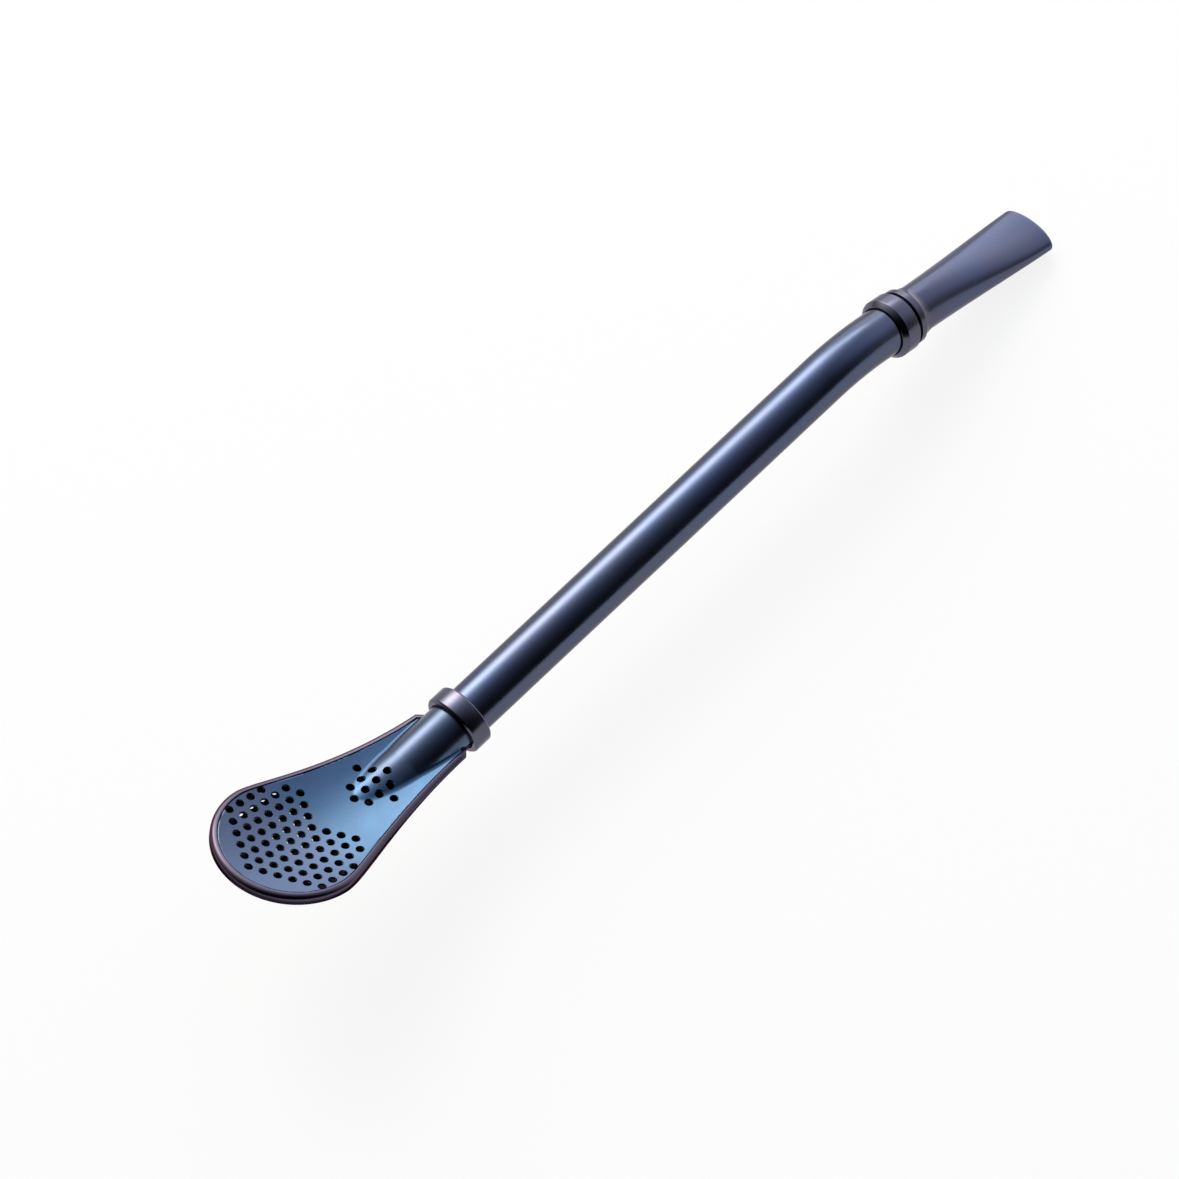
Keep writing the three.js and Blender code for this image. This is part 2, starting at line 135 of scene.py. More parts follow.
class SpoonSizes(bpy.types.PropertyGroup):
    tilt: turn("Spoon tilt", 19.2, "Angle between the spoon's plane and the stem")
    collar_x: length("Collar along spoon", 36.9, "Middle of the lower collar in the spoon's frame")
    collar_z: length("Collar above spoon", 2.54, "Middle of the lower collar in the spoon's frame")
    head_x: length("Head centre", 1.1, "Centre of the round head")
    half_width: length("Half width", 12, "Half width of the head")
    to_tip: length("Head to tip", 12.2, "From the head's centre to the tip")
    leaves_head: length("Flank leaves head", 4.2, "Where the flank starts to draw in")
    waist_x: length("Waist place", 16, "Where the flank draws in most")
    waist_y: length("Waist half width", 6.8, "Half width that the flank is drawn towards")
    shoulder_x: length("Shoulder place", 33, "Where the flank meets the shoulder")
    shoulder_y: length("Shoulder half width", 5.4, "Half width at the shoulder")
    shoulder_chamfer: length("Shoulder chamfer", 1.1, "Cut corner at the shoulder")
    spine_end: length("Spine end", 28.6, "Last point that the neck end is drawn from")
    sheet: length("Sheet", 0.4, "Thickness of the pressed sheets")
    dish_x: length("Dish low place", 6, "Lowest place of the filter plate")
    dish_low: length("Dish low height", -0.08, "Height of the lowest place")
    rise_side: length("Rise to side", 1.05, "How far the plate rises to the side")
    rise_tip: length("Rise to tip", 1.11, "How far the plate rises to the tip")
    rise_neck: length("Rise to neck", 1.97, "How far the plate rises to the neck")
    plate_inset: length("Plate inset", 0.55, "From the outline to the plate's own edge")
    floor_z: length("Floor height", -2.9, "Height of the flat underside")
    floor_inset: length("Floor inset", 3.3, "From the outline to the flat underside")
    hem_rise: length("Hem rise", 0.06, "How far the rolled hem stands over the plate")
    hem_lip: length("Hem lip", 0.16, "How far the hem's inner lip reaches down to the plate")
    hem_head: length("Hem width at head", 1, "Width of the rolled hem at the head")
    hem_neck: length("Hem width at neck", 0.85, "Width of the rolled hem at the neck")
    fall_head: length("Hem fall at head", 0.9, "How far the hem rolls down at the head")
    fall_neck: length("Hem fall at neck", 0.5, "How far the hem rolls down at the neck")
    plate_dip: length("Plate dip", 0.26, "How far the plate's edge dives under the hem")
    drop_head: length("Wall drop at head", 1.7, "Upright part of the wall at the head")
    drop_neck: length("Wall drop at neck", 0.8, "Upright part of the wall at the neck")
    wall_lift: share("Wall lift at neck", 0.3, "How much shallower the wall is at the neck")
    neck_diameter: length("Neck diameter", 8.3, "Round end of the neck")
    neck_start: length("Neck start", -26, "Where the neck's cone starts")
    neck_start_diameter: length("Neck start diameter", 10.7, "Diameter where the cone starts")
    neck_round: length("Neck round from", -11.8, "Where the cone becomes a round tube")
    neck_end: length("Neck end", -0.5, "End of the neck in the collar")
    lower_neck: length("Lower neck from", -4.4, "Where the lower half of the neck starts")
    crease: length("Crease radius", 0.5, "Rounding between plate and neck")


class HoleSizes(bpy.types.PropertyGroup):
    spacing: length("Hole spacing", 2.24, "From hole to hole")
    diameter: length("Hole diameter", 1.3, "Diameter of a hole")
    edge: length("Hole edge", 0.07, "Broken edge round each hole")
    floor_shift: FloatProperty(
        name="Floor field shift",
        description="Shift of the floor's holes, in spacings",
        default=-0.07,
    )


class Finishes(bpy.types.PropertyGroup):
    stem: colour("Stem", (0.056, 0.077, 0.140), "Coating of the tube")
    stem_tint: colour("Stem tint", (0.064, 0.077, 0.128), "Second tone of the tube's coating")
    collar: colour("Collars", (0.094, 0.096, 0.144), "Coating of the turned collars")
    collar_tint: colour("Collar tint", (0.072, 0.070, 0.104), "Second tone in the turned lines")
    mouth: colour("Mouthpiece", (0.048, 0.066, 0.130), "Coating of the mouthpiece")
    mouth_tint: colour("Mouthpiece tint", (0.058, 0.066, 0.116), "Second tone of the mouthpiece")
    # The plate's two tones are painted reflection: its far side is painted darker, its near side
    # lighter
    plate: colour("Filter plate", (0.018, 0.050, 0.112), "Coating of the far side")
    plate_painted_light: colour("Filter plate tint", (0.037, 0.092, 0.172), "Coating of the near side")
    plate_head: colour("Filter plate head", (0.050, 0.062, 0.118), "Coating of the head")
    neck: colour("Neck", (0.048, 0.068, 0.118), "Coating of the neck")
    shell: colour("Hem", (0.082, 0.068, 0.096), "Coating of the rolled hem")
    # The wall's tone is painted shade, nearly black under the hem
    shell_painted_shade: colour("Shell wall", (0.018, 0.014, 0.024), "Coating of the wall under the hem")
    # The inside tone is painted shade, near black in the holes and inside the hollow spoon
    inside: colour("Inside", (0.005, 0.006, 0.012), "Dull inside of the spoon and of its holes")
    floor: colour("Floor", (0.9, 0.9, 0.9), "Pale floor")


SIZE_GROUPS = {
    "straw_stem": StemSizes,
    "straw_collars": CollarSizes,
    "straw_mouth": MouthSizes,
    "straw_spoon": SpoonSizes,
    "straw_holes": HoleSizes,
    "straw_finish": Finishes,
}

# Rows of holes: number of the row, first place in spacings, and count. The floor's outer rows
# have fewer holes than the plate's.
FIELD_ROWS = [(0, -3.5, 7), (1, -3, 7), (2, -2.5, 7), (3, -2, 7), (4, -1.5, 6), (5, -1, 4)]
NECK_ROWS = [(0, 6.5, 4), (1, 7, 3), (2, 8.5, 1)]
FLOOR_ROWS = FIELD_ROWS[:4] + [(4, -1.5, 2), (5.22, 0.37, 2), (5.12, 2.37, 1), (4.98, 3.37, 1)]

# Points closer than this are one, in general and on the plate
SAME_PLACE, PLATE_MERGE = 1e-7, 2e-6

# How fine the shapes are
ELBOW_STEPS = 28
NOSE_STEPS = 6
COVE_STEPS = 12
MOUTH_BANDS = 40
HOLE_STEPS = 28
# Steps round half the head, along a flank and across half the neck end
COARSE_STEPS = (12, 20, 3)
FINE_STEPS = (44, 60, 8)
# Rows of the plate under the hem at the tip, in the head, in the waist and along the neck
PLATE_ROWS = (8, 24, 34, 80)
# Columns of half a row: in the crease, over the neck, on the open plate and under the hem
CREASE_COLUMNS, NECK_COLUMNS, OPEN_COLUMNS, EDGE_COLUMNS = 6, 18, 30, 10
HEM_STEPS = 8
# Least and most share of a row before its edge dives
BRIM_LIMITS = (0.3, 0.85)
# How far inside the hem the dive starts, as a share of its depth
DIVE_LEAD = 0.8
# Loose bodies with fewer points are crumbs
CRUMB_POINTS = 200

# How the bow of the upper collar's nose leans back and out
NOSE_LEAN = (0.6, 0.8)
# How softly the mouthpiece starts and ends to flatten
FLARE_SOFTNESS = 0.7
# Edges broken on the collars, as shares of the chamfer or of the groove's width
LOWER_EDGE, UPPER_EDGE, RING_EDGE = 0.3, 0.08, 0.07
# Faces of the collars that meet at more than this many degrees keep a sharp edge
COLLAR_SHARP = 12

# The ends of drills and cutting bodies, beyond the spoon
DEEP, HIGH, FAR_BELOW, FAR_ABOVE, FAR_ALONG = -0.02, 0.02, -0.032, 0.032, 0.008

# The wall from the flat underside up to the hem: share of the inset and of the height
WALL_BOW = [(0.9, 0.985), (0.79, 0.95), (0.67, 0.86), (0.53, 0.72), (0.38, 0.53)]
WALL_BOW += [(0.24, 0.36), (0.14, 0.21), (0.06, 0.1), (0.02, 0.03)]
# The same for its inner face, from the hem down to the floor
INNER_BOW = [(0.2, 0.18), (0.47, 0.5), (0.73, 0.86)]

# Coatings: roughness, share of clear coat, and tone at a grazing look
GLOSS = {
    "stem": (0.22, 0.5, (0.44, 0.39, 0.38)),
    "collar": (0.22, 0.5, (0.5, 0.48, 0.55)),
    "mouth": (0.26, 0.5, (0.5, 0.46, 0.52)),
    "plate": (0.28, 0.5, (0.7, 0.7, 0.7)),
    "shell": (0.24, 0, (0.4, 0.3, 0.32)),
}
COAT_ROUGHNESS = 0.16
COAT_IOR = 1.5
GLOSS_SPREAD = 0.12
# Clouds, grain and lathe lines: scale and detail of the pattern, then depth and strength. The
# bands are the values of the clouds from which and up to which gloss and tone change.
GLOSS_BAND, TONE_BAND = (0.3, 0.7), (0.35, 0.65)
GLOSS_CLOUDS, TONE_CLOUDS, PLATE_CLOUDS, SHELL_CLOUDS = (260, 4), (90, 3), (120, 3), (150, 3)
GRAIN, GRAIN_RELIEF = (5200, 2), (0.00002, 0.1)
LINE_SCALE, LINE_DETAIL, LINE_RELIEF = 5000, 2, (0.00003, 0.5)
# Where the plate turns from painted shade (far side) to painted light (near side) across, to its
# head's tone (along) and to its neck's tone (upwards), and how far the clouds push these borders
# about
PAINTED_LIGHT_SPAN, HEAD_SPAN, NECK_SPAN = (0.0045, -0.0065), (0.011, 0.003), (0.0002, 0.0012)
HEAD_SHARE, WANDER = 0.65, 0.003
# A face that looks up less than this is a hole's wall, as far as the field reaches; these walls
# get painted shade
UPRIGHT, FIELD_END = 0.3, 0.022
# The heights between which the wall's painted shade turns to the hem's tone, and the clouds' push.
# A face is inside when it lies lower than the top and isn't turned down further than the turn; it
# gets painted shade.
WALL_SHADE_SPAN, HEM_WANDER, INSIDE_TOP, INSIDE_TURN = (0, 0.0006), 0.0002, -0.0016, -0.3

# Stage
FLOOR_ROUGHNESS = 0.9
FLOOR_LIGHT = 0.86
FLOOR_REACH = 2
TENT_RADIUS = 1.6
TENT_BOTTOM = -0.01
LENS = 201.58
LENS_REACH = 10
CAMERA_PLACE = (-0.343157, -0.399538, 0.873404)
# The camera's right, up and back
CAMERA_AXES = (
    (0.688817, -0.72146, -0.070840),
    (0.645594, 0.56604, 0.512651),
    (-0.329760, -0.39885, 0.855673),
)
# Glows of the light tent: direction and height in degrees, narrowness, strength and tone
GLOWS = [
    (70, 39, 24.7, 8.1, (1.10, 1.02, 0.88)),
    (65, 54, 6.5, 1.5, (0.85, 0.97, 1.18)),
    (40, 32, 110, 4, (1, 1.03, 0.97)),
    (21, -21, 4.6, 5.4, (1, 0.99, 1.01)),
    (-22, 38, 13.9, 0.5, (0.8, 0.9, 1.3)),
    (115, 35, 9, 0.6, (1.15, 1.1, 0.75)),
]


# Frames of the pieces

def stem_frame():
    low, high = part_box("lower_collar")
    return Matrix.Translation((low + high) / 2)


def mouth_frame(stem):
    corner = Matrix.Translation((stem.straight, 0, 0))
    return stem_frame() @ corner @ Matrix.Rotation(stem.elbow_angle, 4, "Y")


def spoon_to_stem(spoon):
    back = Matrix.Translation((-spoon.collar_x, 0, -spoon.collar_z))
    return Matrix.Rotation(spoon.tilt, 4, "Y") @ back


# Workshop tools

def smooth(value):
    value = min(1, max(0, value))
    return value * value * (3 - 2 * value)


def mix(a, b, amount):
    return a + (b - a) * amount


def places_between(start, end, count):
    """Evenly spread places, with both ends."""
    return [mix(start, end, k / count) for k in range(count + 1)]


def halved(low, high, too_low, times=40):
    """The two sides of the place where a test turns, found by halving."""
    for _ in range(times):
        middle = (low + high) / 2
        if too_low(middle):
            low = middle
        else:
            high = middle
    return low, high


def closed_up(bm):
    """Joins points that lie at one place, and turns all faces outwards."""
    bmesh.ops.remove_doubles(bm, verts=bm.verts, dist=SAME_PLACE)
    bmesh.ops.recalc_face_normals(bm, faces=bm.faces)
    return bm


def points_in(geometry):
    return {item for item in geometry if isinstance(item, bmesh.types.BMVert)}


def turned(profile, steps, closed=True):
    """A body turned about the X axis from (x, radius) pairs."""
    bm = bmesh.new()
    points = [bm.verts.new((x, 0, radius)) for x, radius in profile]
    lines = [bm.edges.new(pair) for pair in zip(points, points[1:])]
    if closed:
        lines.append(bm.edges.new((points[-1], points[0])))
    bmesh.ops.spin(
        bm,
        geom=points + lines,
        cent=(0, 0, 0),
        axis=(1, 0, 0),
        angle=2 * math.pi,
        steps=steps,
        use_merge=True,
    )
    return closed_up(bm)


def break_edges(bm, width, steepness=25, segments=3, where=lambda edge: True):
    """Rounds the edges of a body that are steeper than an angle."""
    bm.normal_update()
    sharp = [
        edge
        for edge in bm.edges
        if len(edge.link_faces) == 2
        and edge.calc_face_angle(0) > math.radians(steepness)
        and where(edge)
    ]
    bmesh.ops.bevel(
        bm,
        geom=sharp,
        offset=width,
        offset_type="OFFSET",
        segments=segments,
        profile=0.5,
        affect="EDGES",
        material=-1,
        clamp_overlap=True,
    )
    return bm


def ring_of_rings(stations, profile):
    """A body grown ring by ring: each profile step gives a place for each station."""
    bm = bmesh.new()
    number = bm.verts.layers.int.new("station")
    ring = [bm.verts.new(profile[0](station)) for station in stations]
    for index, point in enumerate(ring):
        point[number] = index
    lines = [bm.edges.new(pair) for pair in zip(ring, ring[1:] + ring[:1])]
    for step in profile[1:]:
        grown = bmesh.ops.extrude_edge_only(bm, edges=lines)["geom"]
        points = points_in(grown)
        lines = [
            item
            for item in grown
            if isinstance(item, bmesh.types.BMEdge) and all(v in points for v in item.verts)
        ]
        for point in points:
            point.co = step(stations[point[number]])
    return closed_up(bm)


def new_object(name, bm):
    mesh = bpy.data.meshes.new(name)
    bm.to_mesh(mesh)
    bm.free()
    piece = bpy.data.objects.new(name, mesh)
    bpy.context.scene.collection.objects.link(piece)
    return piece


def settle(piece):
    """Puts what the modifiers make into the mesh."""
    graph = bpy.context.evaluated_depsgraph_get()
    finished = bpy.data.meshes.new_from_object(piece.evaluated_get(graph))
    rough = piece.data
    piece.modifiers.clear()
    piece.data = finished
    bpy.data.meshes.remove(rough)


def worked(piece, tool_body, operation):
    """Cuts a body out of a piece, or joins it on."""
    tool = new_object("tool", tool_body)
    work = piece.modifiers.new("work", "BOOLEAN")
    work.operation = operation
    work.solver = "MANIFOLD"
    work.object = tool
    settle(piece)
    used = tool.data
    bpy.data.objects.remove(tool)
    bpy.data.meshes.remove(used)


def shared_body(body, other):
    """What two bodies have in common."""
    piece = new_object("shared", body)
    worked(piece, other, "INTERSECT")
    bm = bmesh.new()
    bm.from_mesh(piece.data)
    bpy.data.objects.remove(piece)
    return bm


def drop_crumbs(piece):
    """Takes out the tiny loose bits that cutting leaves."""
    bm = bmesh.new()
    bm.from_mesh(piece.data)
    unseen = set(bm.verts)
    crumbs = []
    while unseen:
        body, front = set(), [unseen.pop()]
        while front:
            point = front.pop()
            body.add(point)
            for edge in point.link_edges:
                other = edge.other_vert(point)
                if other in unseen:
                    unseen.discard(other)
                    front.append(other)
        if len(body) < CRUMB_POINTS:
            crumbs.extend(body)
    bmesh.ops.delete(bm, geom=crumbs, context="VERTS")
    bm.to_mesh(piece.data)
    bm.free()


def hand_over(piece, place, node, material, steepness=30):
    """Places a finished piece, gives it its coating and lets it stand for its node."""
    piece.data.transform(place)
    piece.data.shade_smooth()
    piece.data.set_sharp_from_angle(angle=math.radians(steepness))
    piece.data.materials.clear()
    piece.data.materials.append(material)
    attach(piece, "root")
    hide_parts(node)


# Stem

def stem_body(stem, collars, neck_radius, sheet, neck_end):
    radius = stem.tube_diameter / 2
    bore = radius - stem.tube_wall
    spigot = neck_radius - sheet - stem.slide_gap
    inner = spigot - stem.tube_wall
    start = neck_end + stem.butt_gap
    head = start + stem.spigot_overlap
    foot = neck_end - stem.spigot_length
    reach = stem.elbow_radius * math.tan(stem.elbow_angle / 2)
    bend = stem.straight - reach
    joint = collars.from_corner + collars.upper_length / 2
    profile = [(bend, bore), (head, bore), (head, inner), (foot, inner), (foot, spigot)]
    profile += [(start, spigot), (start, radius), (bend, radius)]
    bm = turned(profile, stem.round_steps, closed=False)
    rim = [edge for edge in bm.edges if edge.is_boundary]
    points = list({point for edge in rim for point in edge.verts})
    bent = bmesh.ops.spin(
        bm,
        geom=points + rim,
        cent=(bend, 0, -stem.elbow_radius),
        axis=(0, 1, 0),
        angle=stem.elbow_angle,
        steps=ELBOW_STEPS,
    )["geom_last"]
    rim = [item for item in bent if isinstance(item, bmesh.types.BMEdge)]
    grown = bmesh.ops.extrude_edge_only(bm, edges=rim)["geom"]
    points = points_in(grown)
    way = Matrix.Rotation(stem.elbow_angle, 3, "Y") @ Vector((1, 0, 0))
    run = joint - stem.butt_gap / 2 - reach
    bmesh.ops.translate(bm, verts=list(points), vec=way * run)
    bmesh.ops.remove_doubles(bm, verts=bm.verts, dist=SAME_PLACE)
    ends = [edge for edge in bm.edges if edge.is_boundary]
    bmesh.ops.bridge_loops(bm, edges=ends)
    bmesh.ops.recalc_face_normals(bm, faces=bm.faces)
    return bm


# Collars

def lower_collar_body(stem, collars, neck_radius):
    inner = max(neck_radius, stem.tube_diameter / 2) + stem.slide_gap
    outer = inner + collars.lower_wall
    half = collars.lower_length / 2
    cut = collars.chamfer
    profile = [(-half, inner), (-half, outer - cut), (cut - half, outer)]
    profile += [(-x, radius) for x, radius in reversed(profile)]
    bm = turned(profile, stem.round_steps)
    return break_edges(bm, cut * LOWER_EDGE)


def collar_bore(stem, mouth):
    return max(stem.tube_diameter, mouth.diameter) / 2 + stem.slide_gap


def upper_collar_body(stem, collars, mouth):
    inner = collar_bore(stem, mouth)
    outer = inner + collars.upper_wall
    start = collars.from_corner
    end = start + collars.upper_length
    nose = []
    back, out = NOSE_LEAN
    for k in range(NOSE_STEPS + 1):
        up = k / NOSE_STEPS
        bow = collars.nose_bow * math.sin(math.pi * up)
        x = start + collars.nose_length * up - bow * back
        nose.append((x, outer - collars.nose_drop * (1 - up) + bow * out))
    bm = turned([(start, inner), *nose, (end, outer), (end, inner)], stem.round_steps)
    return break_edges(bm, collars.groove_width * UPPER_EDGE, steepness=35)


def ring_body(stem, collars, mouth):
    inner = collar_bore(stem, mouth)
    outer = inner + collars.ring_wall
    floor = inner + collars.groove_wall
    foot = inner + collars.ring_lip
    collar_end = collars.from_corner + collars.upper_length
    start = collar_end + stem.slide_gap
    band = collar_end + collars.groove_width
    band_end = band + collars.ring_band
    end = band_end + collars.ring_cove
    profile = [(start, inner), (start, floor), (band, floor), (band, outer), (band_end, outer)]
    for k in range(1, COVE_STEPS + 1):
        angle = math.pi / 2 * k / COVE_STEPS
        x = mix(band_end, end, 1 - math.cos(angle))
        profile.append((x, mix(outer, foot, math.sin(angle))))
    bm = turned([*profile, (end, inner)], stem.round_steps)
    return break_edges(bm, collars.groove_width * RING_EDGE, steepness=40)


# Mouthpiece

def mouthpiece_body(stem, collars, mouth):
    radius = mouth.diameter / 2
    inner = radius - stem.tube_wall
    plug = stem.tube_diameter / 2 - stem.tube_wall - stem.slide_gap
    joint = collars.from_corner + collars.upper_length / 2
    start = joint + stem.butt_gap / 2
    end = joint + mouth.overall
    collar_end = collars.from_corner + collars.upper_length
    ring_end = collar_end + collars.groove_width + collars.ring_band + collars.ring_cove
    first = ring_end + mouth.flat_start
    places = places_between(first, end, MOUTH_BANDS)
    profile = [
        (start - mouth.spigot, plug - stem.tube_wall),
        (start - mouth.spigot, plug),
        (start, plug),
        (start, radius),
        *[(x, radius) for x in places],
        *[(x, inner) for x in reversed(places)],
        (start + stem.tube_wall, inner),
        (start, plug - stem.tube_wall),
    ]
    bm = turned(profile, stem.round_steps)
    for point in bm.verts:
        flatten(point, first, end, radius, mouth)
    lip = end - mouth.lip_bow - 1e-5
    return break_edges(
        bm, mouth.lip_edge, 40, 4, lambda edge: all(point.co.x > lip for point in edge.verts)
    )


def flatten(point, first, end, radius, mouth):
    """Moves a point of the round tube to its place in the flattened one."""
    x, y, z = point.co
    reach = math.hypot(y, z)
    along = min(1, max(0, (x - first) / (end - first)))
    amount = mix(along, smooth(along), FLARE_SOFTNESS)
    power = mix(2, mouth.lip_squareness, amount)
    c, s = y / reach, z / reach
    square = (abs(c) ** power + abs(s) ** power) ** (-1 / power)
    wide = reach + amount * (mouth.lip_width / 2 - radius)
    high = reach - amount * (radius - mouth.lip_height / 2)
    side = wide * square * c
    bow = mouth.lip_bow * amount * (2 * side / mouth.lip_width) ** 2 * smooth(along * 2 - 1)
    point.co = (x - bow, side, high * square * s)


# Spoon outline and heights, in the spoon's own frame

def dish(spoon, x, y):
    along = x - spoon.dish_x
    if along < 0:
        rise, reach = spoon.rise_tip, spoon.dish_x - spoon.head_x + spoon.to_tip
    else:
        rise, reach = spoon.rise_neck, spoon.shoulder_x - spoon.dish_x
    across = y / spoon.half_width
    return spoon.dish_low + spoon.rise_side * across**2 + rise * (along / reach) ** 2


def flank_point(spoon, t):
    xs = (spoon.head_x, spoon.head_x + spoon.leaves_head, spoon.waist_x, spoon.shoulder_x)
    ys = (spoon.half_width, spoon.half_width, spoon.waist_y, spoon.shoulder_y)
    weights = ((1 - t) ** 3, 3 * t * (1 - t) ** 2, 3 * t * t * (1 - t), t**3)
    return Vector(
        (sum(w * x for w, x in zip(weights, xs)), sum(w * y for w, y in zip(weights, ys)))
    )


def half_width_at(spoon, x, inset=0.0):
    """Half width of the outline, drawn in by an inset, at a place along the spoon."""
    if x <= spoon.head_x:
        across = (spoon.head_x - x) / (spoon.to_tip - inset)
        return (spoon.half_width - inset) * math.sqrt(max(0, 1 - across * across))
    if x >= spoon.shoulder_x:
        return spoon.shoulder_y - inset - (x - spoon.shoulder_x)
    low, _ = halved(0, 1, lambda t: flank_point(spoon, t).x < x, times=30)
    return flank_point(spoon, low).y - inset


def stations_round(spoon, fineness):
    """Pairs of an outline point and the spine point that it is drawn in towards."""
    tip_steps, flank_steps, end_steps = fineness
    half = []
    for k in range(tip_steps + 1):
        angle = math.pi - math.pi / 2 * k / tip_steps
        x = spoon.head_x + spoon.to_tip * math.cos(angle)
        half.append(Vector((x, spoon.half_width * math.sin(angle))))
    half[0].y = 0
    half += [flank_point(spoon, k / flank_steps) for k in range(1, flank_steps + 1)]
    end_x = spoon.shoulder_x + spoon.shoulder_chamfer
    end_y = spoon.shoulder_y - spoon.shoulder_chamfer
    half += [Vector((end_x, y)) for y in places_between(end_y, 0, end_steps)]
    outline = [Vector((p.x, -p.y)) for p in half[:-1]] + list(reversed(half))[:-1]
    return [
        (edge, Vector((min(spoon.spine_end, max(spoon.head_x, edge.x)), 0))) for edge in outline
    ]


def eased(spoon, x, head, neck):
    """A size that changes softly from the head to the neck."""
    return mix(head, neck, smooth((x - spoon.head_x) / (spoon.shoulder_x - spoon.head_x)))


def hem_width(spoon, x):
    return eased(spoon, x, spoon.hem_head, spoon.hem_neck)


def inward(height, inset=None, part=None):
    """A profile step: so far in from the outline, or that part of the way out from the spine."""

    def place(station):
        edge, spine = station
        way = edge - spine
        reach = way.length
        way = way / reach
        drawn = inset(edge) if callable(inset) else inset
        out = reach - drawn if part is None else part * reach
        x, y = spine.x + way.x * out, spine.y + way.y * out
        return Vector((x, y, height(x, y, edge)))

    return place


def level(z):
    """A height that is the same everywhere."""
    return lambda x, y, edge: z


def over_dish(spoon, lift):
    """A height that follows the dish."""
    return lambda x, y, edge: dish(spoon, x, y) + lift


def beyond_split(spoon, lift, far):
    """All that lies above or below the parting of the two sheets."""
    parting = over_dish(spoon, lift)
    wide = -spoon.neck_diameter
    steps = [inward(parting, part=part) for part in (0, 0.3, 0.6)]
    steps += [inward(parting, inset=inset) for inset in (0, wide / 2, wide)]
    steps += [inward(level(far), inset=wide), inward(level(far), part=0)]
    return ring_of_rings(stations_round(spoon, COARSE_STEPS), steps)


def neck_radius_at(spoon, s):
    slope = (spoon.neck_start_diameter - spoon.neck_diameter) / 2
    slope /= spoon.neck_round - spoon.neck_start
    return spoon.neck_diameter / 2 + slope * max(0, spoon.neck_round - s)


def neck_cone(spoon, inset, start, end, steps):
    """The neck's cone in the spoon's frame, smaller by an inset."""
    bends = [start, *([spoon.neck_round] if start < spoon.neck_round < end else []), end]
    profile = [(start, 0), *[(s, neck_radius_at(spoon, s) - inset) for s in bends], (end, 0)]
    bm = turned(profile, steps, closed=False)
    bmesh.ops.transform(bm, matrix=spoon_to_stem(spoon).inverted(), verts=bm.verts)
    return bm


def neck_point(spoon, s, angle, to_spoon):
    """A point of the neck's cone, by its angle from the top."""
    radius = neck_radius_at(spoon, s)
    return to_spoon @ Vector((s, radius * math.sin(angle), radius * math.cos(angle)))


def hole_places(holes, rows, shift):
    for row, first, count in rows:
        for side in (1, -1) if row else (1,):
            for k in range(count):
                x = (first + k + shift) * holes.spacing
                yield x, side * row * holes.spacing * math.sqrt(3) / 2


# Filter plate

def crease_angle(spoon, s, to_spoon):
    """Angle from the top of the neck at which its cone meets the plate."""

    def over(angle):
        p = neck_point(spoon, s, angle, to_spoon)
        return p.z - dish(spoon, p.x, p.y)

    if over(0) <= 0:
        return 0
    return halved(0, math.pi * 0.6, lambda angle: over(angle) > 0)[0]


def dive_inset(spoon, x):
    """How far in from the outline the plate starts to dive under the hem."""
    return hem_width(spoon, x) + DIVE_LEAD * spoon.plate_dip


def dive_place(spoon, x):
    """Half width of the open plate, inside the place where it starts to dive."""
    if x >= spoon.head_x:
        return half_width_at(spoon, x) - dive_inset(spoon, x)
    out = 1 - dive_inset(spoon, x) / spoon.half_width
    along = (spoon.head_x - x) / spoon.to_tip
    return spoon.half_width * math.sqrt(max(0, out * out - along * along))


def plate_level(spoon, x, y):
    """Height of the plate, whose edge dives under the rolled hem."""
    if x < spoon.head_x:
        out = math.hypot((x - spoon.head_x) / spoon.to_tip, y / spoon.half_width)
        inset = (1 - out) * spoon.half_width
    else:
        inset = half_width_at(spoon, x) - y
    dive = smooth((dive_inset(spoon, x) - inset) / spoon.plate_dip)
    return dish(spoon, x, y) - spoon.plate_dip * dive


def across_places(spoon, x, start, half):
    """Places across the plate, with one where its edge starts to dive."""
    least, most = (mix(start, half, part) for part in BRIM_LIMITS)
    brim = min(most, max(least, dive_place(spoon, x)))
    places = places_between(start, brim, OPEN_COLUMNS)[:-1]
    return places + places_between(brim, half, EDGE_COLUMNS)


def plate_row(spoon, x):
    """Half a row straight across the plate, from the middle outwards."""
    half = half_width_at(spoon, x, spoon.plate_inset)
    row = [Vector((x, 0, plate_level(spoon, x, 0)))] * (NECK_COLUMNS + CREASE_COLUMNS)
    for y in across_places(spoon, x, 0, half):
        row.append(Vector((x, y, plate_level(spoon, x, y))))
    return row


def neck_row(spoon, s, to_spoon):
    """Half a row over the neck: up its cone, through the crease and out over the plate."""
    radius = neck_radius_at(spoon, s)
    angle = crease_angle(spoon, s, to_spoon)
    crease = neck_point(spoon, s, angle, to_spoon)
    plate_end = spoon.shoulder_x + spoon.shoulder_chamfer - spoon.hem_neck
    half = crease.y
    if crease.x < plate_end:
        half = max(half, half_width_at(spoon, crease.x, spoon.plate_inset))
    bow = min(spoon.crease, 0.4 * radius * angle, 0.5 * (half - crease.y))
    top = angle - bow / radius
    turns = [top * k / NECK_COLUMNS for k in range(NECK_COLUMNS)]
    row = [neck_point(spoon, s, turn, to_spoon) for turn in turns]
    inner = neck_point(spoon, s, top, to_spoon)
    outer = Vector((crease.x, crease.y + bow, plate_level(spoon, crease.x, crease.y + bow)))
    for k in range(CREASE_COLUMNS):
        t = k / CREASE_COLUMNS
        row.append(inner * (1 - t) ** 2 + crease * 2 * t * (1 - t) + outer * t * t)
    for y in across_places(spoon, crease.x, outer.y, half):
        row.append(Vector((crease.x, y, plate_level(spoon, crease.x, y))))
    return row


